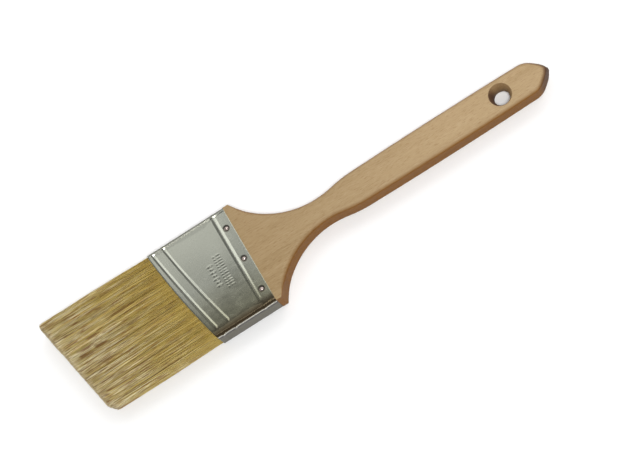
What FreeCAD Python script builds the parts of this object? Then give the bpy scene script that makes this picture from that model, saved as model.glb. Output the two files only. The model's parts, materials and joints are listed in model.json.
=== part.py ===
"""Angled sash paint brush, 2 1/2 in: beech handle, steel ferrule, natural bristle.

Frame: +X from the bristles to the pointed tail of the handle, +Y to the long
side of the oblique ferrule, +Z out of the front face.  The origin is under the
middle of the brush, on the surface that its back lies on.  All sizes are in mm.
"""
import FreeCAD, Part
import math
import os

V = FreeCAD.Vector

# ---- driving dimensions -------------------------------------------------------
LENGTH = 319.0             # bristle tip to handle tip
FERRULE_WIDTH = 63.5       # nominal 2 1/2 in
FERRULE_THICKNESS = 16.6
SHEET = 0.45               # ferrule sheet
BEAD_HEIGHT = 0.45         # how far the pressed beads stand out
BEAD_WIDTH = 1.4
FERRULE_CORNER = 1.8       # outer corner radius of the ferrule's section
LAP_HEIGHT = 6.2           # edge of the lapped seam, above the middle plane

FERRULE_END = 194.5        # handle tip back to the ferrule's straight end
FERRULE_STRIP = 60.0       # length of the wrapped strip before its mouth is cut
MOUTH = (50.9, 46.2, 39.1)  # ferrule length at its long side, middle and short side
BEAD_1 = (47.9, 42.2, 35.1)  # the same three stations for each bead
BEAD_2 = (40.9, 35.1, 27.1)
BEAD_3 = (7.7, 7.7, 7.7)

TIP_ANGLE = 12.0           # the trimmed tip, against a square cut
TOE_RADIUS = 2.4           # long corner of the trimmed tip
HEEL_RADIUS = 4.0          # short corner of the trimmed tip
SPLAY = 0.75               # how much wider each side of the pack gets at its tip
PACK_SWELL = 0.15          # how much thicker each face of the pack gets outside
SWELL_RUN = 22.0           # over this length from the root
CHISEL_LENGTH = 4.5        # both faces slope in over this length to the tip
CHISEL_HALF = 3.2          # half thickness left at the tip
ROOT_GAP = 1.8             # the flexing pack starts this far outside the mouth
ROOT_HALF = 4.2            # half thickness of its relieved root
ROOT_RAMP = 3.6            # length of the relief
ROW_HALF = 2.6             # the middle bristle row is twice this thick

TENON_LENGTH = 13.0        # handle tongue inside the ferrule
RESIN_LENGTH = 3.0         # cast setting that locks the bristle butts
PLUG_LENGTH = 14.0
PLUG_WIDTH = 56.0
PLUG_BUTT = 3.2            # plug thickness at the resin
PLUG_NOSE = 0.8            # plug thickness at its inner end
FIT_GAP = 0.05             # glue line between the sheet and what fills it
STOCK_INSET = 1.0          # held bristle ends this far inside the mouth

SHOULDER_WIDTH = 63.0
SHOULDER_THICKNESS = 16.2
SHOULDER_LENGTH = 3.4      # square stretch behind the ferrule
GRIP_THICKNESS = 14.5
NECK_WIDTH = 14.3
NECK_FROM_TIP = 147.1      # handle tip back to the narrowest place
FLARE_RADIUS = 52.0        # hollow arc from the shoulder through the neck
SWELL_RADIUS = 75.0        # rounded arc from the neck into the grip
GRIP_WIDTH = 20.25         # widest place of the slightly barrelled grip
GRIP_FROM_TIP = 70.0       # handle tip back to that place
BARREL_RADIUS = 3300.0
NOSE_LENGTH = 13.9         # from the end of the grip to the tip
NOSE_RADIUS = 11.0
NOSE_TURN = 37.0           # degrees turned by the nose's first arc
NOSE_BULGE = 0.35          # the last stretch bows out this far
NOSE_ROUND = 5.0           # both faces round down over this length to the tip
EDGE_RADIUS = 2.75         # routed round along the handle's long edges
RUN_OUT = 7.0              # the routed round fades away over this length
FADED_RADIUS = 0.1         # what is left of it there

HOLE_FROM_TIP = 30.1
HOLE_RADIUS = 4.6
HOLE_RIM_RADIUS = 6.7
HOLE_WALL = 2.4            # straight stretch in the middle of the hole
HOLE_EASE = 0.25           # how far the rims bow out, across and along the hole
HOLE_OVERCUT = 1.0         # the cutter runs this far past both faces

NAIL_PITCH = 20.6
NAIL_SHIFT = -0.8          # the middle nail is this far off the middle line
NAIL_FROM_END = 3.9        # nail line to the ferrule's straight end
NAIL_SHANK = 0.7           # radius
NAIL_LENGTH = 6.5
NAIL_HEAD = 1.25           # radius
NAIL_POINT = 1.6           # length of its tapered point
NAIL_TIP = 0.14            # radius of the blunt end of the point
NAIL_CROWN = 0.4           # top of its domed head, above the sheet's face
HEAD_SEAT = -0.13          # underside of the head, below the sheet's face
DIMPLE_RADIUS = 1.9
DIMPLE_DEPTH = 0.25

# ---- stations that follow from them -------------------------------------------
HALF_W = FERRULE_WIDTH / 2
HALF_T = FERRULE_THICKNESS / 2
MID_Z = HALF_T + BEAD_HEIGHT
TIP_X = LENGTH / 2
END_X = TIP_X - FERRULE_END
NAIL_X = END_X - NAIL_FROM_END
RESIN_X = END_X - TENON_LENGTH
BUTT_X = RESIN_X - RESIN_LENGTH
FRONT = 1
BACK = -1
CLEAR = 30.0               # cutting shapes reach this far to the front and to the back
EDGE_MATCH = 0.5           # an edge this near a face or station belongs to it


def extrude(edges, direction):
    """Closed solid from a closed chain of edges."""
    face = Part.Face(Part.Wire(Part.__sortEdges__(edges)))
    return face.extrude(direction)


def polygon(points, direction):
    """Closed solid from corner points."""
    face = Part.Face(Part.makePolygon(list(points) + [points[0]]))
    return face.extrude(direction)


def wall(edges):
    """Upright solid on a closed chain of edges, through the whole thickness."""
    solid = extrude(edges, V(0, 0, 2 * CLEAR))
    solid.translate(V(0, 0, -CLEAR))
    return solid


def slab(x_low, x_high, z_low, z_high):
    """Box wider than the brush."""
    corner = V(x_low, -FERRULE_WIDTH, z_low)
    return Part.makeBox(x_high - x_low, 2 * FERRULE_WIDTH, z_high - z_low, corner)


def line(a, b):
    return Part.LineSegment(a, b).toShape()


def arc(a, middle, b):
    return Part.Arc(a, middle, b).toShape()


def write(shape, node):
    """Lift a finished piece from the middle plane and save it."""
    lifted = shape.copy()
    lifted.translate(V(0, 0, MID_Z))
    if not lifted.isValid():
        raise RuntimeError(node + " is not a valid solid")
    lifted.exportStep(os.path.join("parts", node + ".step"))
    print(node, "solids", len(lifted.Solids), "volume", round(lifted.Volume, 1))


# ---- ferrule ------------------------------------------------------------------
def section(y_low, y_high, half_t, radius, x_low, x_high):
    """Bar along X with a rounded rectangular section."""
    bar = Part.makeBox(x_high - x_low, y_high - y_low, 2 * half_t, V(x_low, y_low, -half_t))
    long_edges = [e for e in bar.Edges if abs(e.tangentAt(0).x) > 0.5]
    return bar.makeFillet(radius, long_edges)


def lapped_bar(grow, x_low, x_high):
    """Outside of the ferrule: its -Y side is set back above the lapped edge."""
    lap_y = -HALF_W - grow
    side_y = lap_y + SHEET
    outer = section(lap_y, HALF_W + grow, HALF_T + grow, FERRULE_CORNER + grow, x_low, x_high)
    below_lap = slab(x_low, x_high, -CLEAR, LAP_HEIGHT + grow)
    inner = section(side_y, HALF_W + grow, HALF_T + grow, FERRULE_CORNER + grow, x_low, x_high)
    return outer.common(below_lap).fuse(inner).removeSplitter()


def cavity(gap, x_low, x_high):
    """Space inside the ferrule, less a gap all round."""
    y_low = -HALF_W + 2 * SHEET + gap
    y_high = HALF_W - SHEET - gap
    half_t = HALF_T - SHEET - gap
    return section(y_low, y_high, half_t, FERRULE_CORNER - SHEET, x_low, x_high)


def cross_arc(stations, shift):
    """Line or arc across the ferrule through its long side, middle and short side."""
    ys = (HALF_W + 1, 0, -HALF_W - 1)
    ends = [V(END_X - station + shift, y, 0) for station, y in zip(stations, ys)]
    if len(set(stations)) == 1:
        return line(ends[0], ends[2])
    return arc(*ends)


def across(stations, shift_low, shift_high):
    """Upright wall between two arcs across the ferrule."""
    low = cross_arc(stations, shift_low)
    high = cross_arc(stations, shift_high)
    ends = [line(low.Vertexes[i].Point, high.Vertexes[i].Point) for i in (0, 1)]
    return wall([low, high] + ends)


def nail_places():
    """Centre of each nail and the face it is driven from."""
    for side, face in ((FRONT, "front"), (BACK, "back")):
        for index in (-1, 0, 1):
            place = V(NAIL_X, NAIL_SHIFT + index * NAIL_PITCH, side * HALF_T)
            yield "%s_nail_%d" % (face, index + 2), place, side


def upright(shape, place, side):
    """Put a shape made about +Z at a place on the front or the back."""
    placed = shape.copy()
    if side == BACK:
        placed.rotate(V(0, 0, 0), V(1, 0, 0), 180)
    placed.translate(place)
    return placed


def make_ferrule():
    strip_x = END_X - FERRULE_STRIP
    shell = lapped_bar(0, strip_x, END_X)
    for stations in (BEAD_1, BEAD_2, BEAD_3):
        ring = lapped_bar(BEAD_HEIGHT, strip_x, END_X)
        band = across(stations, -BEAD_WIDTH / 2, BEAD_WIDTH / 2)
        shell = shell.fuse(ring.common(band))
    shell = shell.cut(cavity(0, strip_x - CLEAR, END_X + CLEAR))
    shell = shell.cut(across(MOUTH, -FERRULE_STRIP, 0))
    ball = (DIMPLE_RADIUS ** 2 + DIMPLE_DEPTH ** 2) / (2 * DIMPLE_DEPTH)
    for _, place, side in nail_places():
        dimple = Part.makeSphere(ball, V(0, 0, ball - DIMPLE_DEPTH))
        pilot = Part.makeCylinder(NAIL_SHANK, 2 * SHEET, V(0, 0, -1.5 * SHEET))
        shell = shell.cut(upright(dimple.fuse(pilot), place, side))
    return shell.removeSplitter()


def make_nail():
    """Domed ferrule nail about +Z, its head seated in the dimple."""
    under_head = HEAD_SEAT
    crown = NAIL_CROWN - under_head
    ball = (NAIL_HEAD ** 2 + crown ** 2) / (2 * crown)
    dome = Part.makeSphere(ball)
    dome.rotate(V(0, 0, 0), V(1, 0, 0), 90)
    dome.translate(V(0, 0, NAIL_CROWN - ball))
    head = dome.common(Part.makeBox(2 * ball, 2 * ball, 2 * ball, V(-ball, -ball, under_head)))
    shank_low = under_head - NAIL_LENGTH + NAIL_POINT
    shank = Part.makeCylinder(NAIL_SHANK, under_head - shank_low + crown / 2, V(0, 0, shank_low))
    point = Part.makeCone(NAIL_TIP, NAIL_SHANK, NAIL_POINT, V(0, 0, shank_low - NAIL_POINT))
    return head.fuse([shank, point]).removeSplitter()


# ---- handle -------------------------------------------------------------------
def on_circle(centre, radius, towards):
    """Point of a circle in the direction of another point."""
    return centre + (towards - centre).normalize() * radius


def middle_of_arc(centre, radius, a, b):
    return on_circle(centre, radius, (a + b) * 0.5)


def side_points():
    """Stations and edges of the +Y half of the handle's outline."""
    shoulder = V(END_X, SHOULDER_WIDTH / 2, 0)
    flare_c = V(TIP_X - NECK_FROM_TIP, NECK_WIDTH / 2 + FLARE_RADIUS, 0)
    reach = math.sqrt(FLARE_RADIUS ** 2 - (flare_c.y - shoulder.y) ** 2)
    flare_start = V(flare_c.x - reach, shoulder.y, 0)
    barrel_c = V(TIP_X - GRIP_FROM_TIP, GRIP_WIDTH / 2 - BARREL_RADIUS, 0)
    # the swelling arc touches the flare arc outside and the barrel arc inside
    to_flare = FLARE_RADIUS + SWELL_RADIUS
    to_barrel = BARREL_RADIUS - SWELL_RADIUS
    span = flare_c - barrel_c
    along = (to_barrel ** 2 - to_flare ** 2 + span.Length ** 2) / (2 * span.Length)
    off = math.sqrt(to_barrel ** 2 - along ** 2)
    unit = V(span).normalize()
    swell_c = barrel_c + unit * along + V(unit.y, -unit.x, 0) * off
    neck_end = on_circle(flare_c, FLARE_RADIUS, swell_c)
    swell_end = barrel_c + (swell_c - barrel_c).normalize() * BARREL_RADIUS
    # nose: one arc tangent to the grip, then a slightly bowed stretch to the tip
    nose_x = TIP_X - NOSE_LENGTH
    nose = V(nose_x, barrel_c.y + math.sqrt(BARREL_RADIUS ** 2 - (nose_x - barrel_c.x) ** 2), 0)
    start = math.asin((nose.x - barrel_c.x) / BARREL_RADIUS)
    nose_c = nose - V(math.sin(start), math.cos(start), 0) * NOSE_RADIUS
    turned = start + math.radians(NOSE_TURN)
    nose_end = nose_c + V(math.sin(turned), math.cos(turned), 0) * NOSE_RADIUS
    return (
        shoulder, flare_start, flare_c, neck_end, swell_c, swell_end,
        barrel_c, nose, nose_c, nose_end,
    )


def flip(edge):
    """The same edge on the -Y side."""
    return edge.mirror(V(0, 0, 0), V(0, 1, 0))


def outline_edges(points):
    (shoulder, flare_start, flare_c, neck_end, swell_c, swell_end,
     barrel_c, nose, nose_c, nose_end) = points
    tip = V(TIP_X, 0, 0)
    chord = tip - nose_end
    bulge = (nose_end + tip) * 0.5 + V(-chord.y, chord.x, 0).normalize() * NOSE_BULGE
    half = [
        line(shoulder, flare_start),
        arc(flare_start, middle_of_arc(flare_c, FLARE_RADIUS, flare_start, neck_end), neck_end),
        arc(neck_end, middle_of_arc(swell_c, SWELL_RADIUS, neck_end, swell_end), swell_end),
        arc(swell_end, middle_of_arc(barrel_c, BARREL_RADIUS, swell_end, nose), nose),
        arc(nose, middle_of_arc(nose_c, NOSE_RADIUS, nose, nose_end), nose_end),
        arc(nose_end, bulge, tip),
    ]
    return half + [flip(e) for e in half] + [line(shoulder, V(shoulder.x, -shoulder.y, 0))]


def side_view(ramp_x):
    """Slab with the handle's side view: hollowed gently from the shoulder to the grip."""
    shoulder_t = SHOULDER_THICKNESS / 2
    grip_t = GRIP_THICKNESS / 2
    thin_x = TIP_X - NECK_FROM_TIP
    low_y = -FERRULE_WIDTH
    middle = V((ramp_x + thin_x) / 2, low_y, grip_t + (shoulder_t - grip_t) / 4)
    nose_c = V(TIP_X - NOSE_ROUND, low_y, grip_t - NOSE_ROUND)
    corners = [
        V(END_X, low_y, shoulder_t),
        V(ramp_x, low_y, shoulder_t),
        V(thin_x, low_y, grip_t),
        nose_c + V(0, 0, NOSE_ROUND),
        nose_c + V(NOSE_ROUND, 0, 0),
    ]
    top = [
        line(corners[0], corners[1]),
        arc(corners[1], middle, corners[2]),
        line(corners[2], corners[3]),
        arc(corners[3], middle_of_arc(nose_c, NOSE_ROUND, corners[3], corners[4]), corners[4]),
    ]
    bottom = [e.mirror(V(0, 0, 0), V(0, 0, 1)) for e in top]
    ends = [line(c, V(c.x, c.y, -c.z)) for c in (corners[0], corners[4])]
    return extrude(top + bottom + ends, V(0, 2 * FERRULE_WIDTH, 0))


def long_edges(solid, side=0):
    """Edges between the handle's faces and its sides, behind the shoulder."""
    found = []
    for edge in solid.Edges:
        centre = edge.CenterOfMass
        run = edge.BoundBox
        on_a_face = abs(centre.z) > GRIP_THICKNESS / 2 - EDGE_MATCH and run.ZLength < 2 * EDGE_MATCH
        behind = run.XMin > END_X + SHOULDER_LENGTH - EDGE_MATCH and run.XLength > EDGE_MATCH
        right_side = centre.y * side >= 0 and abs(centre.y) > EDGE_MATCH
        if on_a_face and behind and right_side:
            found.append(edge)
    return found


def hole_cutter():
    """Hanging hole: a short straight wall between two widely eased rims."""
    reach = GRIP_THICKNESS / 2
    half_wall = HOLE_WALL / 2
    ease_r = (HOLE_RADIUS + HOLE_RIM_RADIUS) / 2 - HOLE_EASE
    ease_z = (half_wall + reach) / 2 + HOLE_EASE
    rim = V(HOLE_RIM_RADIUS, 0, reach)
    outer = V(HOLE_RIM_RADIUS, 0, reach + HOLE_OVERCUT)
    outline = [
        line(V(0, 0, -outer.z), V(outer.x, 0, -outer.z)),
        line(V(outer.x, 0, -outer.z), V(rim.x, 0, -rim.z)),
        arc(V(rim.x, 0, -rim.z), V(ease_r, 0, -ease_z), V(HOLE_RADIUS, 0, -half_wall)),
        line(V(HOLE_RADIUS, 0, -half_wall), V(HOLE_RADIUS, 0, half_wall)),
        arc(V(HOLE_RADIUS, 0, half_wall), V(ease_r, 0, ease_z), rim),
        line(rim, outer),
        line(outer, V(0, 0, outer.z)),
        line(V(0, 0, outer.z), V(0, 0, -outer.z)),
    ]
    face = Part.Face(Part.Wire(Part.__sortEdges__(outline)))
    cutter = face.revolve(V(0, 0, 0), V(0, 0, 1), 360)
    cutter.translate(V(TIP_X - HOLE_FROM_TIP, 0, 0))
    return cutter


def make_handle():
    points = side_points()
    flare_start = points[1]
    blank = wall(outline_edges(points)).common(side_view(flare_start.x))
    # the routed round runs out on the flare, so the shoulder stays square
    run_out = slab(-LENGTH, flare_start.x + RUN_OUT, -CLEAR, CLEAR)
    head = blank.common(run_out)
    rest = blank.cut(run_out)
    rest = rest.makeFillet(EDGE_RADIUS, long_edges(rest))
    head = head.makeFillet(FADED_RADIUS, EDGE_RADIUS, long_edges(head, 1))
    head = head.makeFillet(EDGE_RADIUS, FADED_RADIUS, long_edges(head, -1))
    tenon = cavity(FIT_GAP, RESIN_X, END_X)
    handle = head.fuse([rest, tenon]).removeSplitter()
    handle = handle.cut(hole_cutter())
    nail = make_nail()
    for _, place, side in nail_places():
        handle = handle.cut(upright(nail, place, side))
    return handle


# ---- what the ferrule holds ---------------------------------------------------
def plug(side):
    """Tapered wooden spacer between two bristle rows."""
    centre = side * ROW_HALF
    half_y = PLUG_WIDTH / 2
    corners = [
        V(BUTT_X, -half_y, centre - PLUG_BUTT / 2),
        V(BUTT_X, -half_y, centre + PLUG_BUTT / 2),
        V(BUTT_X - PLUG_LENGTH, -half_y, centre + PLUG_NOSE / 2),
        V(BUTT_X - PLUG_LENGTH, -half_y, centre - PLUG_NOSE / 2),
    ]
    return polygon(corners, V(0, PLUG_WIDTH, 0))


def rows(pack):
    """Cut a bristle pack into its front, middle and back rows."""
    for name, low, high in (
        ("front", ROW_HALF, CLEAR),
        ("middle", -ROW_HALF, ROW_HALF),
        ("back", -CLEAR, -ROW_HALF),
    ):
        yield name, pack.common(slab(-LENGTH, LENGTH, low, high))


def held_pack():
    """Bristle inside the ferrule, from its butts in the resin to the mouth."""
    pack = cavity(FIT_GAP, END_X - FERRULE_STRIP, BUTT_X)
    pack = pack.cut(across(MOUTH, -FERRULE_STRIP, STOCK_INSET))
    return pack.cut(plug(FRONT)).cut(plug(BACK))


def tip_points():
    """Corners of the trimmed tip: where its two round corners start and end."""
    tip_y = HALF_W - SHEET + SPLAY
    angle = math.radians(TIP_ANGLE)
    normal = V(-math.cos(angle), -math.sin(angle), 0)
    along = V(math.sin(angle), -math.cos(angle), 0)
    toe_c = V(-TIP_X + TOE_RADIUS, tip_y - TOE_RADIUS, 0)
    toe = toe_c + normal * TOE_RADIUS
    run = (toe.y + tip_y - HEEL_RADIUS * (1 - math.sin(angle))) / math.cos(angle)
    heel = toe + along * run
    heel_c = heel - normal * HEEL_RADIUS
    return normal, along, toe_c, toe, heel, heel_c


def pack_plan():
    """Upright solid with the outline of the free bristle seen from the front."""
    normal, _, toe_c, toe, heel, heel_c = tip_points()
    root_y = HALF_W - SHEET
    toe_side = toe_c + V(0, TOE_RADIUS, 0)
    heel_side = heel_c - V(0, HEEL_RADIUS, 0)
    root_x = END_X - MOUTH[2]
    plan = [
        line(V(root_x, root_y, 0), toe_side),
        arc(toe_side, on_circle(toe_c, TOE_RADIUS, toe_c + normal + V(0, 1, 0)), toe),
        line(toe, heel),
        arc(heel, on_circle(heel_c, HEEL_RADIUS, heel_c + normal - V(0, 1, 0)), heel_side),
        line(heel_side, V(root_x, -root_y, 0)),
        line(V(root_x, -root_y, 0), V(root_x, root_y, 0)),
    ]
    return wall(plan)


def wedge(profile, along):
    """Solid with a side view given from the middle plane up, as wide as needed."""
    start = along * -FERRULE_WIDTH
    corners = [V(x, 0, z) + start for x, z in profile]
    corners += [V(x, 0, -z) + start for x, z in reversed(profile)]
    return polygon(corners, along * 2 * FERRULE_WIDTH)


def free_pack():
    """Bristle outside the ferrule: relieved root, parallel body, tip sloped in on both faces."""
    _, along, _, toe, _, _ = tip_points()
    mouth_line = V(MOUTH[2] - MOUTH[0], FERRULE_WIDTH, 0).normalize()
    half_t = HALF_T - SHEET
    body_t = half_t + PACK_SWELL
    root_x = END_X - MOUTH[1] - ROOT_GAP
    body_x = root_x - ROOT_RAMP - SWELL_RUN
    tip_x = toe.x - along.x / along.y * toe.y
    root = [
        (root_x, ROOT_HALF),
        (root_x - ROOT_RAMP, half_t),
        (body_x, body_t),
        (tip_x - SWELL_RUN, body_t),
    ]
    tip = [
        (root_x + SWELL_RUN, body_t),
        (tip_x + CHISEL_LENGTH, body_t),
        (tip_x, CHISEL_HALF),
        (tip_x - SWELL_RUN, CHISEL_HALF),
    ]
    return pack_plan().common(wedge(root, mouth_line)).common(wedge(tip, along))


if __name__ == "__main__":
    os.makedirs("parts", exist_ok=True)
    write(make_handle(), "handle")
    write(make_ferrule(), "ferrule")
    nail = make_nail()
    for node, place, side in nail_places():
        write(upright(nail, place, side), node)
    write(cavity(FIT_GAP, BUTT_X, RESIN_X), "resin_setting")
    write(plug(FRONT), "front_plug")
    write(plug(BACK), "back_plug")
    for name, row in rows(held_pack()):
        write(row, name + "_row_held")
    for name, row in rows(free_pack()):
        write(row, name + "_row_free")
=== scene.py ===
import json
import math

import bpy
import numpy as np
from mathutils import Matrix, Vector


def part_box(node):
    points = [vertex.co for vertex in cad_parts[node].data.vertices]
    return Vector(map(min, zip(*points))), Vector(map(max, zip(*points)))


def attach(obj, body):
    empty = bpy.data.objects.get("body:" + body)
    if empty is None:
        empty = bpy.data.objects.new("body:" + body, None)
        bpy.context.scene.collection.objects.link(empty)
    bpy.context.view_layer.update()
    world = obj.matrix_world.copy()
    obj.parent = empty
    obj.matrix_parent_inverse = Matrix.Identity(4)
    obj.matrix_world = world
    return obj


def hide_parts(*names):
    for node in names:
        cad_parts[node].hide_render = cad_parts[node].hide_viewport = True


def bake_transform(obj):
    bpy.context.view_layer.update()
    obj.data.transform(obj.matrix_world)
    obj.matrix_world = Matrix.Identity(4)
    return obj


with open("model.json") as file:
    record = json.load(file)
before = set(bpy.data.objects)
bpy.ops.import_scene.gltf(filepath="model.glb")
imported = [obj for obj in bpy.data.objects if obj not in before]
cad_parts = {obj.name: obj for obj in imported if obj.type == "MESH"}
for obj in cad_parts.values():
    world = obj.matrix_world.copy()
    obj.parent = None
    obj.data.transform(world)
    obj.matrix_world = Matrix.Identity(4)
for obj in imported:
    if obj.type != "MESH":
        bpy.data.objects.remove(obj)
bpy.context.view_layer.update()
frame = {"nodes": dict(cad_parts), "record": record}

MM = 0.001

# ---- places read from the frame, in mm ----------------------------------------
FERRULE_LOW, FERRULE_HIGH = [np.array(corner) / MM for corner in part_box("ferrule")]
MID_Z = (FERRULE_LOW[2] + FERRULE_HIGH[2]) / 2
END_X = FERRULE_HIGH[0]                          # straight end of the ferrule
BRISTLE_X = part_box("middle_row_free")[0].x / MM  # tip of the longest bristle
HOLE_X = next(m["pos_m"][0] for m in frame["record"]["mounts"] if m["name"] == "hanging_hole") / MM

# ---- ferrule, in mm -----------------------------------------------------------
BEAD_PROUD = 0.45           # the beads of the frame's ferrule stand this far out
HALF_WIDTH = (FERRULE_HIGH[1] - FERRULE_LOW[1]) / 2 - BEAD_PROUD
HALF_DEPTH = (FERRULE_HIGH[2] - FERRULE_LOW[2]) / 2 - BEAD_PROUD
BEND_RADIUS = 1.8           # of the sheet, where it turns from a face to a side
SHEET = 0.45
LAP = 6.2                   # cut edge of the lapped sheet, above the middle plane
EDGE_RADIUS = 0.20          # rounding of the cut edge
EDGE_GAP = 0.02             # between the cut edge and the sheet under it
CROWN = 0.55                # each face falls this much from its middle to its sides
ROLL = 0.50                 # the front rolls down this much towards the lap
ROLL_WIDTH = 5.5
LIP = 0.9                   # the mouth is rounded over this length
LIP_DROP = 0.30
END_LIP = 0.4               # and the straight end over this one
END_LIP_DROP = 0.10
INNER_DROP = 0.45           # the inside lies this far below the plain outside
# distance from the straight end at the long side, in the middle, at the short side
MOUTH = (50.9, 46.2, 39.1)
# the same for each bead, from the straight end on, then its half width and the rows of
# mesh that lead up to it
BEADS = {
    "straight": ((7.7, 7.7, 7.7), 1.8, 15),
    "inner": ((40.9, 35.1, 27.1), 1.2, 62),
    "outer": ((47.9, 42.2, 35.1), 1.25, 9),
}
BEAD_ROWS = 12
MOUTH_LEAD_UP = 4
LIP_ROWS = 6
BEAD_HEIGHT = 0.44
LAP_CLEAR = 4.4             # the beads start this far from the short side
LAP_RISE = 2.4              # and reach their full height over this distance
LONG_CLEAR = 4.4            # they sink from this far before the long side
LONG_FALL = 3.6             # over this distance
LONG_SHARE = 0.20           # to this share of their height, and keep it round that side
LAPPED_SHARE = 0.15         # their height on the lapped sheet, away from the cut edge
# what they have more beside the cut edge, and the distance over which that fades
LAPPED_EDGE = (0.75, 1.3)
UNDER_EDGE = (0.80, 1.1)
NAIL_STATION = 3.9          # distance of the nails from the straight end
NAIL_PITCH = 20.6
NAIL_SHIFT = -0.8           # the middle nail is this far off the middle line
DIMPLE_RADIUS = 1.95
DIMPLE_DEPTH = 0.30
STRIP_WIDTH = 6.6           # the strip along the nails is pressed down on the wood
STRIP_DEPTH = 0.10
PANEL_WAVE = 0.05           # unevenness of the sheet between that strip and the mouth
# stretches of the contour, and the points on each
FRONT, LONG_ROUND, LONG_SIDE, BACK, UNDER_LAP, LAPPED = range(6)
BEND_POINTS = 9
FRONT_POINTS = 156
LONG_SIDE_POINTS = 22
BACK_POINTS = 120
LAPPED_POINTS = 20
UNDER_LAP_POINTS = 3
EDGE_POINTS = 4

# ---- ornament on the front of the ferrule, in mm ------------------------------
ORNAMENT_SHIFT = -0.3       # its middle is this far off the middle line
LOZENGE_LINE = 22.9         # each line: distance from the straight end
LOZENGE_PITCH = 2.1
LOZENGE_HALF = 0.85         # half width
LOZENGE_REACH = (1.5, 2.3)  # half length of the two sizes, which take turns
LOZENGE_HEIGHT = 0.20
PIP_LINE = 18.6
PIP_RADIUS = 0.62
BAR_LINE = 15.9
BAR_HALF = 0.40
BAR_REACH = 1.25
MARK_PITCH = 1.62           # of the pips and of the bars
MARK_HEIGHT = 0.17

# ---- bristle, in mm -----------------------------------------------------------
PACK_WIDTH = 31.15          # half width where the bristle leaves the ferrule
PACK_DEPTH = 7.70           # half depth there
PACK_CORNER = 1.6           # radius of the section's corners
SPLAY = 0.85                # each side stands this much further out at the tip
SWELL = 0.32                # each face may stand this much further out beyond the mouth
TIP_ANGLE = math.radians(12.0)
TOE_RADIUS = 2.4
HEEL_RADIUS = 4.0
CHISEL_LENGTH = 1.0
CHISEL_HALF = 5.0           # half depth of the flat part of the tip
ROW_EDGE = 2.6              # the middle row is this deep on each side of the middle
OUTSIDE = 20.0              # a place beyond both faces of the pack
ROOT_DEPTH = 4.0            # long strands start this far inside the mouth
FILL_LENGTH = 26.0          # of the short strands that fill the tip
FILL_SPREAD = 3.0
LONG_POINTS = 13            # rings along a long strand
FILL_POINTS = 6
SPACING = 0.30
SHAKE = 0.25                # share of the spacing by which strands are moved
THIN, THICK = 0.125, 0.19   # radius of the thinnest and the thickest strand
SHELL = 1.7                 # strands this near the surface run their whole length
SHADES = 128                # kinds of strand, each with its own streaks
LOCKS = 4093                # kinds of lock
LOCK_WIDTH = 0.32
LOCK_DEPTH = 0.90
# typical lean along Y and Z at the tip, then bow along Y and Z half way
LOCK_DRIFT = (0.30, 0.14, 0.28, 0.10)
STRAND_DRIFT = (0.07, 0.06, 0.06, 0.05)
STRAY_SHARE = 0.05          # share of strands that leave their lock
STRAY_DRIFT = 0.5
LOCK_SHADED = 0.84          # share of strands with the shade of their lock
SHORT_SHARE = 0.06          # share of strands that end well short of the tip
SHORT_MOST = 7.0
CORE_INSET = 1.15           # the core lies this far inside the pack
CORE_CORNER = 1.0
CORE_SHORT = 0.9            # and ends this far short of the tip
CORE_RINGS = 30
CORE_FACE_POINTS = 12

# ---- camera: the angle the brush is seen from ---------------------------------
CAMERA_AZIMUTH = math.radians(13.0)
CAMERA_ELEVATION = math.radians(70.0)
PICTURE_TURN = math.radians(32.45)   # the handle points this far above level
FIELD_WIDTH = 350.6 * MM             # width of the view at the brush
LENS = 150.0
SENSOR = 36.0
AIM = Vector((3.3 * MM, -5.0 * MM, MID_Z * MM))

# ---- light --------------------------------------------------------------------
FLOOR_REACH = 6.0                    # metres each way
WALLS, OVERHEAD = 0.62, 0.20         # brightness of the studio round about and overhead
WALL_TOP, CEILING = 0.30, 0.88       # upward part of the direction where each is reached
# direction it stands in, distance in metres, width and length, power
LIGHTS = {
    "main": ((0.50, 0.33, 0.80), 2.0, (1.2, 1.2), 8.5),
    "front": ((0.08, -0.35, 0.94), 2.4, (0.42, 0.42), 38.5),
    "side": ((-0.08, 0.62, 0.78), 1.2, (0.9, 0.78), 2.6),
}


def add_camera():
    a, e = CAMERA_AZIMUTH, CAMERA_ELEVATION
    back = Vector((math.sin(a) * math.cos(e), -math.cos(a) * math.cos(e), math.sin(e)))
    along = Vector((1, 0, 0))
    along = (along - along.dot(back) * back).normalized()
    over = back.cross(along)
    right = along * math.cos(PICTURE_TURN) - over * math.sin(PICTURE_TURN)
    up = back.cross(right)
    data = bpy.data.cameras.new("camera")
    data.lens = LENS
    data.sensor_width = SENSOR
    data.clip_end = 20
    camera = bpy.data.objects.new("camera", data)
    bpy.context.collection.objects.link(camera)
    place = AIM + back * (FIELD_WIDTH * LENS / SENSOR)
    turn = Matrix((right, up, back)).transposed().to_4x4()
    camera.matrix_world = Matrix.Translation(place) @ turn
    bpy.context.scene.camera = camera


def add_floor():
    size = FLOOR_REACH
    mesh = bpy.data.meshes.new("floor")
    corners = [(-size, -size, 0), (size, -size, 0), (size, size, 0), (-size, size, 0)]
    mesh.from_pydata(corners, [], [(0, 1, 2, 3)])
    floor = bpy.data.objects.new("floor", mesh)
    bpy.context.collection.objects.link(floor)
    material = bpy.data.materials.new("floor_paper")
    material.use_nodes = True
    shader = material.node_tree.nodes["Principled BSDF"]
    shader.inputs["Base Color"].default_value = (0.93, 0.93, 0.93, 1)
    shader.inputs["Roughness"].default_value = 0.9
    shader.inputs["Specular IOR Level"].default_value = 0.0
    mesh.materials.append(material)


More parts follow.
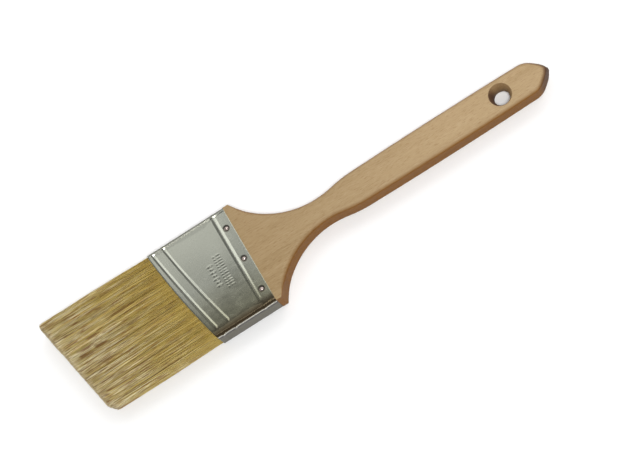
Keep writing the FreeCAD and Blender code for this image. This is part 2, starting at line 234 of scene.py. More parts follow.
def add_studio():
    """Surroundings that are brighter round the walls than overhead."""
    world = bpy.data.worlds.new("studio")
    world.use_nodes = True
    tree = world.node_tree
    background = tree.nodes["Background"]
    background.inputs["Color"].default_value = (1, 1, 1, 1)
    direction = tree.nodes.new("ShaderNodeTexCoord")
    height = tree.nodes.new("ShaderNodeSeparateXYZ")
    falloff = tree.nodes.new("ShaderNodeMapRange")
    falloff.interpolation_type = "SMOOTHSTEP"
    falloff.inputs["From Min"].default_value = WALL_TOP
    falloff.inputs["From Max"].default_value = CEILING
    falloff.inputs["To Min"].default_value = WALLS
    falloff.inputs["To Max"].default_value = OVERHEAD
    tree.links.new(direction.outputs["Generated"], height.inputs["Vector"])
    tree.links.new(height.outputs["Z"], falloff.inputs["Value"])
    tree.links.new(falloff.outputs["Result"], background.inputs["Strength"])
    bpy.context.scene.world = world


def add_area(name, toward, distance, size, power):
    """Soft rectangular light that faces the brush from a direction."""
    data = bpy.data.lights.new(name, "AREA")
    data.shape = "RECTANGLE"
    data.size, data.size_y = size
    data.energy = power
    light = bpy.data.objects.new(name, data)
    bpy.context.collection.objects.link(light)
    toward = Vector(toward).normalized()
    light.location = AIM + toward * distance
    light.rotation_mode = "QUATERNION"
    light.rotation_quaternion = toward.to_track_quat("Z", "Y")


# ---- node helpers -------------------------------------------------------------
class Nodes:
    """Shorthand for building a material's node tree."""

    def __init__(self, name):
        self.material = bpy.data.materials.new(name)
        self.material.use_nodes = True
        self.tree = self.material.node_tree
        self.shader = self.tree.nodes["Principled BSDF"]

    def add(self, kind, **settings):
        node = self.tree.nodes.new(kind)
        for key, value in settings.items():
            setattr(node, key, value)
        return node

    def link(self, source, target):
        self.tree.links.new(source, target)

    def stretched(self, source, scale):
        """Coordinates multiplied by a scale on each axis."""
        node = self.add("ShaderNodeMapping")
        node.inputs["Scale"].default_value = scale
        self.link(source, node.inputs["Vector"])
        return node.outputs["Vector"]

    def split(self, vector):
        """The three coordinates of a vector."""
        node = self.add("ShaderNodeSeparateXYZ")
        self.link(vector, node.inputs["Vector"])
        return node.outputs

    def noise(self, source, scale, detail, roughness=0.5, distortion=0.0):
        node = self.add("ShaderNodeTexNoise")
        node.inputs["Scale"].default_value = scale
        node.inputs["Detail"].default_value = detail
        node.inputs["Roughness"].default_value = roughness
        node.inputs["Distortion"].default_value = distortion
        self.link(source, node.inputs["Vector"])
        return node.outputs["Fac"]

    def ramp(self, source, stops, interpolation="EASE"):
        node = self.add("ShaderNodeValToRGB")
        ramp = node.color_ramp
        ramp.interpolation = interpolation
        while len(ramp.elements) < len(stops):
            ramp.elements.new(0.5)
        for element, (place, colour) in zip(ramp.elements, stops):
            element.position = place
            element.color = (*colour, 1)
        self.link(source, node.inputs["Fac"])
        return node.outputs["Color"]

    def span(self, source, low, high, to_low=0.0, to_high=1.0):
        """A value from low to high carried over to another range, and held beyond its ends."""
        node = self.add("ShaderNodeMapRange")
        node.inputs["From Min"].default_value = low
        node.inputs["From Max"].default_value = high
        node.inputs["To Min"].default_value = to_low
        node.inputs["To Max"].default_value = to_high
        self.link(source, node.inputs["Value"])
        return node.outputs["Result"]

    def mix(self, factor, a, b, mode="MIX"):
        node = self.add("ShaderNodeMix", data_type="RGBA", blend_type=mode)
        for value, socket in ((factor, 0), (a, 6), (b, 7)):
            if isinstance(value, tuple):
                node.inputs[socket].default_value = (*value, 1)
            else:
                self.link(value, node.inputs[socket])
        return node.outputs[2]

    def maths(self, operation, *values):
        node = self.add("ShaderNodeMath", operation=operation)
        for value, socket in zip(values, node.inputs):
            if hasattr(value, "is_output"):
                self.link(value, socket)
            else:
                socket.default_value = value
        return node.outputs[0]

    def times(self, a, b):
        return self.maths("MULTIPLY", a, b)

    def off(self, value, place):
        """How far a value is from a place."""
        return self.maths("ABSOLUTE", self.maths("SUBTRACT", value, place))

    def bump(self, height, strength, distance):
        node = self.add("ShaderNodeBump")
        node.inputs["Strength"].default_value = strength
        node.inputs["Distance"].default_value = distance
        self.link(height, node.inputs["Height"])
        self.link(node.outputs["Normal"], self.shader.inputs["Normal"])

    def own_normal(self):
        """Surface direction in the piece's own axes."""
        surface = self.add("ShaderNodeNewGeometry")
        turn = self.add("ShaderNodeVectorTransform", vector_type="NORMAL",
                        convert_from="WORLD", convert_to="OBJECT")
        self.link(surface.outputs["Normal"], turn.inputs["Vector"])
        return turn.outputs["Vector"]

    def millimetres(self):
        """Object coordinates in millimetres."""
        coordinates = self.add("ShaderNodeTexCoord")
        return self.stretched(coordinates.outputs["Object"], (1 / MM, 1 / MM, 1 / MM))


# ---- materials ----------------------------------------------------------------
def beech():
    """Bare beech: fine dark flecks, routed sides darkened as painted shade, reddish end grain at the
    tail.
    """
    n = Nodes("beech")
    place = n.millimetres()
    bands = n.noise(n.stretched(place, (0.010, 0.22, 0.14)), 1.0, 4, 0.55, 0.6)
    colour = n.ramp(bands, [
        (0.30, (0.375, 0.262, 0.136)),
        (0.50, (0.415, 0.295, 0.160)),
        (0.72, (0.440, 0.320, 0.178)),
    ])
    flecks = n.noise(n.stretched(place, (0.30, 2.1, 1.8)), 1.0, 2, 0.6)
    dark_flecks = n.span(flecks, 0.56, 0.68)
    colour = n.mix(n.times(dark_flecks, 0.46), colour, (0.240, 0.130, 0.052))
    pale_flecks = n.span(flecks, 0.42, 0.34, 0.0, 0.30)
    colour = n.mix(pale_flecks, colour, (0.52, 0.40, 0.26))
    pores = n.noise(n.stretched(place, (0.14, 3.6, 3.0)), 1.0, 3, 0.6)
    colour = n.mix(n.span(pores, 0.40, 0.70, 0.0, 0.30), colour, (0.29, 0.18, 0.085))
    # the flat faces are darker towards the shoulder
    axes = n.split(place)
    normal = n.split(n.own_normal())
    flat = n.maths("ABSOLUTE", normal["Z"])
    shoulder_darkening = n.times(n.span(axes["X"], -40.0, 100.0, 0.85, 0.0), flat)
    colour = n.mix(shoulder_darkening, colour, (0.745, 0.730, 0.665), "MULTIPLY")
    # painted shade: along the routed edge the wood is darkened to a warmer, deeper tone, as the sides
    # turn away from the light
    side = n.span(n.maths("ADD", flat, n.times(pores, 0.2)), 1.07, 0.45)
    # the painted side shade is weaker on the eased rims of the hanging hole, which stay nearly as
    # pale as the faces
    off_hole = n.maths("MAXIMUM", n.off(axes["X"], HOLE_X), n.maths("ABSOLUTE", axes["Y"]))
    side = n.times(side, n.span(off_hole, 6.9, 7.6, 0.4, 1.0))
    colour = n.mix(side, colour, (0.47, 0.265, 0.040), "MULTIPLY")
    # end grain at the tail
    at_tail = n.span(axes["X"], 60.0, 110.0)
    end_grain = n.times(n.span(normal["X"], 0.25, 0.75), at_tail)
    colour = n.mix(end_grain, colour, (0.36, 0.30, 0.34), "MULTIPLY")
    n.link(colour, n.shader.inputs["Base Color"])
    n.link(n.span(pores, 0.2, 0.8, 0.50, 0.64), n.shader.inputs["Roughness"])
    n.shader.inputs["Specular IOR Level"].default_value = 0.18
    height = n.maths("ADD", n.times(dark_flecks, -0.5), n.times(pores, -0.6))
    n.bump(height, 0.30, 0.00016)
    return n.material


def nail_dimple_shade(n, axes):
    """Share of painted shade in the dimple round each nail."""
    along = n.maths("SUBTRACT", axes["X"], END_X - NAIL_STATION)
    across = n.maths("ADD", axes["Y"], NAIL_PITCH / 2 - NAIL_SHIFT)
    across = n.maths("FLOORED_MODULO", across, NAIL_PITCH)
    across = n.maths("SUBTRACT", across, NAIL_PITCH / 2)
    squares = n.maths("ADD", n.maths("POWER", along, 2), n.maths("POWER", across, 2))
    return n.span(n.maths("SQRT", squares), 2.4, 1.6, 0.0, 0.9)


def lap_shade_and_highlight(n, axes, colour):
    """Painted shade that deepens towards the fold and on the bend above the lap, a painted shadow
    below the lap's edge, and a painted highlight on the cut edge.
    """
    lap_z = MID_Z + LAP
    fold_y = -HALF_WIDTH
    # painted shade: the half towards the fold is darker
    short_half = n.span(axes["Y"], fold_y + 30.0, fold_y + 8.0)
    colour = n.mix(short_half, colour, (0.87, 0.84, 0.72), "MULTIPLY")
    # painted shade on the bend above the lap, which dims its reflection
    near_fold = n.span(axes["Y"], fold_y + 7.2, fold_y + 2.6)
    above = n.span(axes["Z"], lap_z + 0.2, lap_z + 0.6)
    colour = n.mix(n.times(near_fold, above), colour, (0.46, 0.37, 0.31), "MULTIPLY")
    at_fold = n.span(axes["Y"], fold_y + 1.4, fold_y + 0.9)
    # painted shadow: a dark band on the lapped side below the cut edge
    under_lap_shadow = n.times(n.span(n.off(axes["Z"], lap_z - 1.5), 1.9, 0.8), at_fold)
    colour = n.mix(under_lap_shadow, colour, (0.020, 0.015, 0.010))
    # painted highlight along the lap's cut edge
    cut_edge_highlight = n.times(n.span(n.off(axes["Z"], lap_z - 0.10), 0.40, 0.18), at_fold)
    return n.mix(cut_edge_highlight, colour, (0.46, 0.45, 0.40)), cut_edge_highlight


def steel(name, tint, roughness, painted_light=False):
    """Satin steel, with painted shade making its bent sides darker than its rubbed faces."""
    n = Nodes(name)
    place = n.millimetres()
    cloud = n.noise(n.stretched(place, (0.16, 0.30, 0.30)), 1.0, 4, 0.55)
    grain = n.noise(n.stretched(place, (0.9, 9.0, 9.0)), 1.0, 2, 0.5)
    dark = tuple(c * 0.92 for c in tint)
    colour = n.mix(n.span(cloud, 0.30, 0.70), dark, tint)
    normal = n.split(n.own_normal())
    axes = n.split(place)
    # painted shade: the sides are darkened, most of all at the back fold along the bottom edge
    side = n.span(n.maths("ABSOLUTE", normal["Y"]), 0.15, 0.75)
    level = n.span(axes["Z"], FERRULE_LOW[2], FERRULE_HIGH[2])
    side_shade = n.ramp(level, [
        (0.09, (0.018, 0.014, 0.009)),
        (0.19, (0.094, 0.086, 0.058)),
        (0.80, (0.106, 0.097, 0.066)),
        (0.86, (0.150, 0.138, 0.108)),
    ], "LINEAR")
    colour = n.mix(side, colour, side_shade)
    rough = n.maths("ADD", n.span(cloud, 0.25, 0.75, roughness - 0.04, roughness + 0.04),
                    n.span(grain, 0.3, 0.7, -0.02, 0.02))
    if painted_light:
        # painted shade in the dimple round each nail, then painted shade, shadow and highlight at the
        # lap
        colour = n.mix(nail_dimple_shade(n, axes), colour, (0.050, 0.038, 0.028))
        colour, cut_edge_highlight = lap_shade_and_highlight(n, axes, colour)
        rough = n.maths("ADD", rough, n.times(cut_edge_highlight, 0.25))
    n.link(colour, n.shader.inputs["Base Color"])
    n.link(rough, n.shader.inputs["Roughness"])
    n.shader.inputs["Metallic"].default_value = 1.0
    n.bump(grain, 0.04, 0.0001)
    return n.material


def plain_wood(name, light, dark):
    """Streaks along the length; also used for the bristle held inside the ferrule."""
    n = Nodes(name)
    grain = n.noise(n.stretched(n.millimetres(), (0.05, 1.2, 1.2)), 1.0, 4, 0.6)
    n.link(n.mix(n.span(grain, 0.3, 0.7), dark, light), n.shader.inputs["Base Color"])
    n.shader.inputs["Roughness"].default_value = 0.7
    n.bump(grain, 0.3, 0.0002)
    return n.material


def resin():
    n = Nodes("resin")
    cloud = n.noise(n.millimetres(), 0.3, 3)
    n.link(n.mix(cloud, (0.16, 0.08, 0.02), (0.30, 0.17, 0.05)), n.shader.inputs["Base Color"])
    n.link(n.span(cloud, 0.3, 0.7, 0.15, 0.35), n.shader.inputs["Roughness"])
    return n.material


def hair():
    """Hog bristle: every kind of strand has its own tone and darker streaks, partly darker hairs and
    partly painted shade between the locks; the tips are paler, partly as painted light.
    """
    n = Nodes("hog_bristle")
    layout = n.add("ShaderNodeUVMap", uv_map="OFBake").outputs["UV"]
    along = n.split(layout)["Y"]
    # paler towards the tip; the last stretch is lightened further as painted light against the shade
    # among the strand ends
    base = n.ramp(along, [
        (0.00, (0.435, 0.310, 0.056)),
        (0.30, (0.455, 0.335, 0.076)),
        (0.75, (0.495, 0.375, 0.108)),
        (0.93, (0.575, 0.455, 0.175)),
        (1.00, (0.680, 0.560, 0.310)),
    ])
    tone = n.noise(n.stretched(layout, (SHADES * 1.9, 2.2, 1)), 1.0, 1)
    towards_tip = n.span(along, 0.05, 0.80, 0.40, 1.0)
    pale = n.times(n.span(tone, 0.50, 0.62, 0.0, 0.85), n.maths("POWER", along, 0.8))
    base = n.mix(pale, base, (0.890, 0.815, 0.560))
    base = n.mix(n.span(tone, 0.50, 0.32, 0.0, 0.40), base, (0.360, 0.215, 0.045))
    # darker streaks: partly darker hairs, partly painted shade of the gaps between locks
    dark = n.noise(n.stretched(layout, (SHADES * 1.37, 6.0, 1)), 1.0, 2)
    streak = n.times(n.span(dark, 0.54, 0.60, 0.0, 0.82), towards_tip)
    base = n.mix(streak, base, (0.215, 0.080, 0.014))
    n.link(base, n.shader.inputs["Base Color"])
    n.link(n.span(tone, 0.3, 0.7, 0.38, 0.55), n.shader.inputs["Roughness"])
    n.shader.inputs["Specular IOR Level"].default_value = 0.4
    return n.material


def core_hair():
    """Dark streaked bristle seen between the strands, darker than the strands as painted shade of the
    depth.
    """
    n = Nodes("bristle_depth_shade")
    streak = n.noise(n.stretched(n.millimetres(), (0.05, 2.2, 2.2)), 1.0, 3, 0.6)
    colour = n.mix(n.span(streak, 0.35, 0.65), (0.150, 0.095, 0.028), (0.34, 0.240, 0.085))
    n.link(colour, n.shader.inputs["Base Color"])
    n.shader.inputs["Roughness"].default_value = 0.8
    return n.material


def dress(nodes, material):
    for name in nodes:
        data = frame["nodes"][name].data
        data.materials.clear()
        data.materials.append(material)


# ---- mesh helpers -------------------------------------------------------------
def smoothstep(x):
    x = np.clip(x, 0.0, 1.0)
    return x * x * (3 - 2 * x)


def steps_to(count):
    """Even shares from just above 0 up to 1."""
    return np.linspace(0, 1, count + 1)[1:]


def new_piece(name, points, faces, material, uvs=None):
    """Smooth mesh object from arrays in millimetres, with its own bake layout if given."""
    mesh = bpy.data.meshes.new(name)
    mesh.from_pydata((np.asarray(points) * MM).tolist(), [], faces)
    if uvs is not None:
        layer = mesh.uv_layers.new(name="OFBake")
        corners = np.empty(len(mesh.loops), dtype=np.int32)
        mesh.loops.foreach_get("vertex_index", corners)
        layer.data.foreach_set("uv", np.asarray(uvs, dtype=np.float32)[corners].ravel())
    mesh.polygons.foreach_set("use_smooth", np.ones(len(mesh.polygons), dtype=bool))
    mesh.materials.append(material)
    mesh.update()
    piece = bpy.data.objects.new(name, mesh)
    bpy.context.collection.objects.link(piece)
    return piece


# ---- ferrule ------------------------------------------------------------------
def station(stations, y):
    """Distance from the straight end, on the arc through its three stations."""
    long_side, middle, short_side = stations
    mean, slant = (long_side + short_side) / 2, (long_side - short_side) / 2
    share = y / HALF_WIDTH
    return mean + slant * share + (middle - mean) * (1 - share ** 2)


def ferrule_contour():
    """Outside of the wrapped sheet: places, outward directions, and the stretch each is on."""
    w, d, r = HALF_WIDTH, HALF_DEPTH, BEND_RADIUS
    rows = []

    def straight(a, b, count, normal, stretch):
        for t in np.linspace(0, 1, count, endpoint=False):
            rows.append((a[0] + (b[0] - a[0]) * t, a[1] + (b[1] - a[1]) * t, *normal, stretch))

    def bend(cy, cz, start, stop, count, stretch, radius=r):
        for angle in np.radians(np.linspace(start, stop, count, endpoint=False)):
            ny, nz = math.cos(angle), math.sin(angle)
            rows.append((cy + radius * ny, cz + radius * nz, ny, nz, stretch))

    under = w - SHEET
    edge = EDGE_RADIUS
    straight((-under, LAP), (-under, d - r), UNDER_LAP_POINTS, (-1, 0), UNDER_LAP)
    bend(-under + r, d - r, 180, 90, BEND_POINTS, UNDER_LAP)
    straight((-under + r, d), (w - r, d), FRONT_POINTS, (0, 1), FRONT)
    bend(w - r, d - r, 90, 0, BEND_POINTS, LONG_ROUND)
    straight((w, d - r), (w, -d + r), LONG_SIDE_POINTS, (1, 0), LONG_SIDE)
    bend(w - r, -d + r, 0, -90, BEND_POINTS, LONG_ROUND)
    straight((w - r, -d), (-w + r, -d), BACK_POINTS, (0, -1), BACK)
    bend(-w + r, -d + r, -90, -180, BEND_POINTS, LAPPED)
    straight((-w, -d + r), (-w, LAP - edge), LAPPED_POINTS, (-1, 0), LAPPED)
    bend(-w + edge, LAP - edge, 180, 90, EDGE_POINTS, LAPPED, edge)
    rows.append((-w + edge, LAP, 0, 1, LAPPED))
    rows.append((-under - EDGE_GAP, LAP, 0, 1, LAPPED))
    return np.array(rows)


def bead_strength(y, z, nz, stretch):
    """Share of its full height that a bead has at each place round the ferrule."""
    # a bead starts clear of the lap and sinks towards the long side
    near_lap = smoothstep((y + HALF_WIDTH - LAP_CLEAR) / LAP_RISE)
    near_long = 1 - (1 - LONG_SHARE) * smoothstep((y - HALF_WIDTH + LONG_CLEAR) / LONG_FALL)
    strength = near_lap * near_long
    strength = np.where(stretch == LONG_SIDE, LONG_SHARE, strength)

    def beside_edge(share, fade):
        return share * np.exp(-(np.abs(z - LAP) / fade) ** 2)

    # it shows again in both sheets beside the cut edge of the lap
    strength = np.where(stretch == UNDER_LAP, beside_edge(*UNDER_EDGE), strength)
    lapped = (LAPPED_SHARE + beside_edge(*LAPPED_EDGE)) * (1 - np.clip(nz, 0, 1))
    return np.where(stretch == LAPPED, lapped, strength)


def ornament(y, x):
    """Generic pressed border: lozenges of two sizes beside a row of small bars and pips."""
    y = y - ORNAMENT_SHIFT
    height = np.zeros_like(y)
    for index in range(-3, 4):
        across = np.abs(y - index * LOZENGE_PITCH) / LOZENGE_HALF
        along = np.abs(x - LOZENGE_LINE) / LOZENGE_REACH[index % 2]
        height += LOZENGE_HEIGHT * smoothstep((1 - across - along) / 0.5)
    for index in range(-6, 7):
        across = y - index * MARK_PITCH
        pip = np.hypot(across, x - PIP_LINE)
        height += MARK_HEIGHT * smoothstep((PIP_RADIUS - pip) / 0.4)
        bar = np.maximum(np.abs(across) / BAR_HALF, np.abs(x - BAR_LINE) / BAR_REACH)
        height += MARK_HEIGHT * smoothstep((1 - bar) / 0.45)
    return height


def ferrule_rows(y):
    """Stations from the straight end to the mouth, packed closer on every bead."""
    last = END_LIP + 0 * y
    rows = [0 * y, 0 * y + 0.3 * END_LIP, last]
    for line, half, lead_up in BEADS.values():
        middle = station(line, y)
        start = middle - half
        rows += [last + (start - last) * t for t in steps_to(lead_up)]
        rows += [middle + half * t for t in np.linspace(-1, 1, BEAD_ROWS + 1)[1:]]
        last = middle + half
    mouth = station(MOUTH, y)
    rows += [last + (mouth - LIP - last) * t for t in steps_to(MOUTH_LEAD_UP)]
    rows += [mouth - LIP + LIP * math.sin(t * math.pi / 2) for t in steps_to(LIP_ROWS)]
    return np.array(rows)


def ferrule_lift(rows, mouth, contour):
    """How far the sheet stands out of its plain contour at every row and place."""
    y, z, _, nz, stretch = contour.T
    lift = np.zeros_like(rows)
    # the two slanting beads are flatter on the long side, the straight one on the short side
    towards_long = 0.34 * smoothstep((y - 2) / 20)
    towards_short = 0.36 * smoothstep((6 - y) / 24)
    flatter = {"outer": towards_long, "inner": towards_long, "straight": towards_short}
    strength = bead_strength(y, z, nz, stretch)
    for name, drop in flatter.items():
        line, half, _ = BEADS[name]
        away = np.abs(rows - station(line, y)) / half
        profile = np.cos(np.clip(away, 0, 1) * math.pi / 2) ** 2
        lift += BEAD_HEIGHT * strength * (1 - drop) * profile
    flat = (stretch == FRONT) | (stretch == BACK)
    for index in (-1, 0, 1):
        across = y - NAIL_SHIFT - index * NAIL_PITCH
        away = np.hypot(rows - NAIL_STATION, across) / DIMPLE_RADIUS
        lift -= np.where(flat, DIMPLE_DEPTH * np.clip(1 - away ** 2, 0, 1) ** 1.5, 0)
    lift += np.where(stretch == FRONT, ornament(y * np.ones_like(rows), rows), 0)
    # the nail strip is pressed down on the wood, and the panel is never quite flat
    lift -= STRIP_DEPTH * smoothstep((STRIP_WIDTH - rows) / 2.0) * flat
    panel = smoothstep((rows - 8.5) / 6) * smoothstep((mouth - rows) / 8) * flat
    wave = np.sin(y / 6.1 + 1.3) * np.sin(rows / 7.3 + 0.4) + np.sin(y / 10.7 + rows / 12.9)
    lift += panel * PANEL_WAVE * wave
    lift -= CROWN * flat * (y / HALF_WIDTH) ** 2 * smoothstep(rows / 10)
    # the front rolls down towards the lap
    roll = np.clip(1 - (y + HALF_WIDTH) / ROLL_WIDTH, 0, 1) ** 2
    lift -= ROLL * roll * np.clip(nz, 0, 1) * ((stretch == FRONT) | (stretch == UNDER_LAP))
    # rounded lips at the mouth and at the straight end
    to_mouth = np.clip(1 - (mouth - rows) / LIP, 0, 1)
    lift -= LIP_DROP * (1 - np.sqrt(1 - 0.999 * to_mouth ** 2))
    lift -= END_LIP_DROP * np.clip(1 - rows / END_LIP, 0, 1) ** 2
    return lift


def make_ferrule(material):
    """The sheet as a closed shell: outside rows to the mouth, then inside rows back again."""
    contour = ferrule_contour()
    y, z, ny, nz, _ = contour.T
    mouth = station(MOUTH, y)
    rows = ferrule_rows(y)
    lift = ferrule_lift(rows, mouth, contour)
    inner_rows = [mouth - 0.05, mouth - 0.6, mouth - 3.0, mouth * 0.6, mouth * 0.25, 0 * y + 0.05]
    inner_lift = [-0.40, -0.46] + [-INNER_DROP] * 4
    rows = np.vstack([rows, np.array(inner_rows)])
    lift = np.vstack([lift, np.array([np.full_like(y, value) for value in inner_lift])])
    count, around = rows.shape
    points = np.stack([END_X - rows, y + ny * lift, MID_Z + z + nz * lift], axis=2)
    faces = []
    for i in range(count):
        j = (i + 1) % count
        for a in range(around):
            b = (a + 1) % around
            faces.append((i * around + a, j * around + a, j * around + b, i * around + b))
    travel = np.cumsum(np.hypot(np.diff(y, prepend=y[0]), np.diff(z, prepend=z[0])))
    u = np.tile(travel / (travel[-1] + 1.0), (count, 1))
    v = np.linspace(0.005, 0.995, count)[:, None] * np.ones_like(u)
    uvs = np.stack([u, v], axis=2).reshape(-1, 2)
    return new_piece("ferrule_shell", points.reshape(-1, 3), faces, material, uvs)


# ---- bristle ------------------------------------------------------------------
def mouth_x(y):
    return END_X - station(MOUTH, y)


def tip_x(y, z):
    """Where a bristle that ends at this place of the section is trimmed."""
    half = PACK_WIDTH + SPLAY
    toe = (BRISTLE_X + TOE_RADIUS - TOE_RADIUS * math.cos(TIP_ANGLE),
           half - TOE_RADIUS - TOE_RADIUS * math.sin(TIP_ANGLE))
    x = toe[0] + (toe[1] - y) * math.tan(TIP_ANGLE)
    # the toe and the heel are rounded by a little less than a quarter circle
    toe_in = np.clip((y - half + TOE_RADIUS) / TOE_RADIUS, 0, 1)
    heel_in = np.clip((-y - half + HEEL_RADIUS) / HEEL_RADIUS, 0, 1)
    x = x + TOE_RADIUS * 0.82 * (1 - np.sqrt(1 - 0.98 * toe_in ** 2))
    x = x + HEEL_RADIUS * 0.92 * (1 - np.sqrt(1 - 0.98 * heel_in ** 2))
    slope = np.clip((np.abs(z) - CHISEL_HALF) / (PACK_DEPTH - CHISEL_HALF), 0, 1)
    return x + CHISEL_LENGTH * slope ** 1.15


def strand_tubes(centres, radii, shades, fractions):
    """Closed three sided tubes: points, faces and bake layout."""
    count, steps, _ = centres.shape
    tangent = np.gradient(centres, axis=1)
    tangent /= np.linalg.norm(tangent, axis=2, keepdims=True)
    side = np.cross(tangent, np.array([0.0, 0.0, 1.0]))
    side /= np.linalg.norm(side, axis=2, keepdims=True)
    over = np.cross(side, tangent)
    turns = np.radians([90, 210, 330])
    ring = [side * math.cos(t) + over * math.sin(t) for t in turns]
    points = np.stack([centres + r * radii[..., None] for r in ring], axis=2)
    index = np.arange(count * steps * 3).reshape(count, steps, 3)
    near, far = index[:, :-1], index[:, 1:]
    quads = []
    for k in range(3):
        m = (k + 1) % 3
        quad = np.stack([near[:, :, k], near[:, :, m], far[:, :, m], far[:, :, k]], axis=2)
        quads.append(quad.reshape(-1, 4))
    caps = np.concatenate([index[:, 0, ::-1], index[:, -1, :]])
    u = (shades[:, None] + 0.5) / SHADES + 0 * fractions
    v = 0.01 + 0.98 * fractions
    uvs = np.repeat(np.stack([u, v], axis=2)[:, :, None, :], 3, axis=2)
    faces = np.concatenate(quads).tolist() + caps.tolist()
    return points.reshape(-1, 3), faces, uvs.reshape(-1, 2)


def scatter(rng):
    """Places of the bristles in the section, on a shaken close packed grid."""
    w, d = PACK_WIDTH, PACK_DEPTH
    ys = np.arange(-w, w, SPACING)
    zs = np.arange(-d, d, SPACING * 0.866)
    y, z = np.meshgrid(ys, zs)
    y = y + (np.arange(len(zs)) % 2)[:, None] * SPACING / 2
    y = (y + rng.normal(0, SPACING * SHAKE, y.shape)).ravel()
    z = (z + rng.normal(0, SPACING * SHAKE, z.shape)).ravel()
    past_y = np.maximum(np.abs(y) - w + PACK_CORNER, 0)
    past_z = np.maximum(np.abs(z) - d + PACK_CORNER, 0)
    in_corner = np.hypot(past_y, past_z) < PACK_CORNER
    keep = (np.abs(y) < w) & (np.abs(z) < d) & in_corner
    return y[keep], z[keep]


def wander(y, z, rng, size, reach):
    """A smooth sideways drift shared by neighbouring strands."""
    waves = rng.normal(0, 1, (6, 2))
    phases = rng.uniform(0, 2 * math.pi, 6)
    total = sum(np.sin((y * a + z * b) / size * 2 + p) for (a, b), p in zip(waves, phases))
    return total / math.sqrt(6) * reach


def lock_number(y, z):
    """Which lock of hair a place in the section belongs to."""
    warped = y + 0.35 * np.sin(y * 1.7) + 0.25 * np.sin(y * 0.63 + z)
    column = np.floor((warped + PACK_WIDTH + 1) / LOCK_WIDTH)
    layer = np.floor((z + OUTSIDE) / LOCK_DEPTH)
    return (column * 37 + layer * 101).astype(int) % LOCKS


def reflected(value, limit):
    """Values past a limit on either side, turned back by as much."""
    return np.where(np.abs(value) > limit, np.sign(value) * (2 * limit - np.abs(value)), value)


def make_strands(y, z, rng, steps, whole_length):
    """Strands that start at these places of the section, whole or only near the tip."""
    count = len(y)
    # every strand ends a little short of the trimmed tip, and a few end well short of it
    end = tip_x(y * (1 + SPLAY / PACK_WIDTH), z) + rng.gamma(1.3, 0.30, count)
    end = end + (rng.random(count) < SHORT_SHARE) * rng.uniform(0, SHORT_MOST, count)
    if whole_length:
        root = mouth_x(y) + ROOT_DEPTH
    else:
        root = end + FILL_LENGTH + rng.uniform(-FILL_SPREAD, FILL_SPREAD, count)
    t = np.append(np.linspace(0, 0.985, steps - 1), 1.0)[None, :] * np.ones((count, 1))
    x = root[:, None] + (end - root)[:, None] * t
    out = np.clip((mouth_x(y)[:, None] - x) / (mouth_x(y) - end)[:, None], 0, 1)
    clump_y = wander(y, z, rng, 2.6, 0.40) + wander(y, z, rng, 8.0, 0.45)
    clump_z = wander(y, z, rng, 2.6, 0.16)
    clump_z = clump_z - 0.22 * np.abs(np.sin(y * 2.1 + wander(y, z, rng, 3.0, 1.2)))
    # neighbours in a lock drift together and share a shade
    lock = lock_number(y, z)
    drift = rng.normal(0, 1, (LOCKS, 4))[lock] * LOCK_DRIFT
    own = rng.normal(0, 1, (count, 4)) * STRAND_DRIFT
    stray = (rng.random(count) < STRAY_SHARE)[:, None] * rng.normal(0, STRAY_DRIFT, (count, 4))
    lean_y, lean_z, bow_y, bow_z = (drift + own + stray).T
    bow_y = bow_y + wander(y, z, rng, 3.5, 0.30)
    arch = 4 * out * (1 - out)
    yy = y[:, None] * (1 + SPLAY / PACK_WIDTH * out) + (clump_y + lean_y)[:, None] * out ** 1.5
    yy = yy + bow_y[:, None] * arch
    zz = z[:, None] + (clump_z + lean_z)[:, None] * out ** 1.5 + bow_z[:, None] * arch
    yy = reflected(yy, PACK_WIDTH + SPLAY * out + 0.10)
    zz = reflected(zz, PACK_DEPTH + SWELL * smoothstep(out * 4))
    girth = rng.uniform(THIN, THICK, count)[:, None]
    radii = girth * (1 - 0.25 * out ** 2) * (1 - 0.5 * (t > 0.999))
    centres = np.stack([x, yy, MID_Z + zz], axis=2)
    shades = rng.integers(0, SHADES, LOCKS)[lock]
    shades = np.where(rng.random(count) < LOCK_SHADED, shades, rng.integers(0, SHADES, count))
    return strand_tubes(centres, radii, shades, out)


def make_bristles(material, name, low, high, seed):
    """One row of strands: long ones at the surface, short ones that fill the tip."""
    rng = np.random.default_rng(seed)
    y, z = scatter(rng)
    inside = (z >= low) & (z < high)
    y, z = y[inside], z[inside]
    near_surface = np.minimum(PACK_WIDTH - np.abs(y), PACK_DEPTH - np.abs(z)) < SHELL
    deep = ~near_surface
    points, faces, uvs = make_strands(y[near_surface], z[near_surface], rng, LONG_POINTS, True)
    fill_points, fill_faces, fill_uvs = make_strands(y[deep], z[deep], rng, FILL_POINTS, False)
    faces += [[v + len(points) for v in face] for face in fill_faces]
    return new_piece(name, np.vstack([points, fill_points]), faces, material,
                     np.vstack([uvs, fill_uvs]))


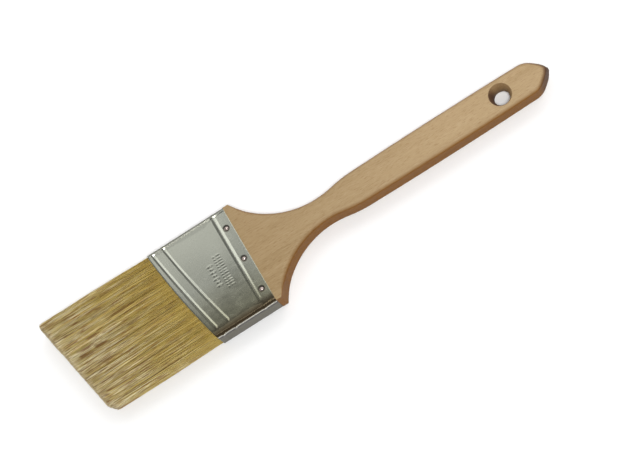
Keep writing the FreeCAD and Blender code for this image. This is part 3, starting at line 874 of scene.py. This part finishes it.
def make_core(material):
    """Solid middle of the pack that keeps light from passing between the strands."""
    w, d = PACK_WIDTH - CORE_INSET, PACK_DEPTH - CORE_INSET
    flat_y, flat_z = w - CORE_CORNER, d - CORE_CORNER
    half = []
    for angle in np.radians(np.linspace(0, 90, 5)):
        half.append((flat_y + CORE_CORNER * math.cos(angle), flat_z + CORE_CORNER * math.sin(angle)))
    for k in range(CORE_FACE_POINTS):
        half.append((flat_y - 2 * flat_y * (k + 0.5) / CORE_FACE_POINTS, d))
    for angle in np.radians(np.linspace(90, 180, 5)):
        half.append((-flat_y + CORE_CORNER * math.cos(angle), flat_z + CORE_CORNER * math.sin(angle)))
    outline = np.array(half + [(-y, -z) for y, z in half])
    y, z = outline.T
    root = mouth_x(y) + ROOT_DEPTH
    end = tip_x(y, np.zeros_like(z)) + CORE_SHORT
    rings = []
    for t in np.linspace(0, 1, CORE_RINGS):
        x = root + (end - root) * t
        left = (x - end) / CHISEL_LENGTH
        squeeze = np.clip((CHISEL_HALF - 1.2) / d + left, 0.12, 1)
        grow = 1 + SPLAY / PACK_WIDTH * t
        rings.append(np.stack([x, y * grow, MID_Z + z * squeeze], axis=1))
    around = len(outline)
    faces = []
    for i in range(0, (CORE_RINGS - 1) * around, around):
        for a in range(around):
            b = (a + 1) % around
            faces.append((i + a, i + b, i + around + b, i + around + a))
    faces.append(tuple(range(around - 1, -1, -1)))
    faces.append(tuple(range((CORE_RINGS - 1) * around, CORE_RINGS * around)))
    return new_piece("bristle_core", np.vstack(rings), faces, material)


# ---- assembly -----------------------------------------------------------------
add_camera()
add_floor()
add_studio()
for light, settings in LIGHTS.items():
    add_area(light, *settings)
bpy.context.scene.view_settings.view_transform = "Standard"

held = ["front_row_held", "middle_row_held", "back_row_held"]
nails = [name for name in frame["nodes"] if "_nail_" in name]
dress(["handle"], beech())
dress(nails, steel("nail_steel", (0.58, 0.48, 0.44), 0.24))
dress(["front_plug", "back_plug"], plain_wood("plug_wood", (0.50, 0.36, 0.20), (0.40, 0.27, 0.14)))
dress(["resin_setting"], resin())
dress(held, plain_wood("bristle_stock", (0.48, 0.35, 0.13), (0.36, 0.25, 0.08)))

ferrule = make_ferrule(steel("satin_steel", (0.368, 0.378, 0.322), 0.24, painted_light=True))
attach(ferrule, "brush")
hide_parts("ferrule")

strand_look = hair()
packs = []
for row, low, high, seed in (
    ("front_row", ROW_EDGE, OUTSIDE, 11),
    ("middle_row", -ROW_EDGE, ROW_EDGE, 12),
    ("back_row", -OUTSIDE, -ROW_EDGE, 13),
):
    pack = make_bristles(strand_look, row + "_strands", low, high, seed)
    packs.append((pack, row + "_free"))
packs.append((make_core(core_hair()), "middle_row_free"))

for pack, node in packs:
    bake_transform(pack)
    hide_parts(node)
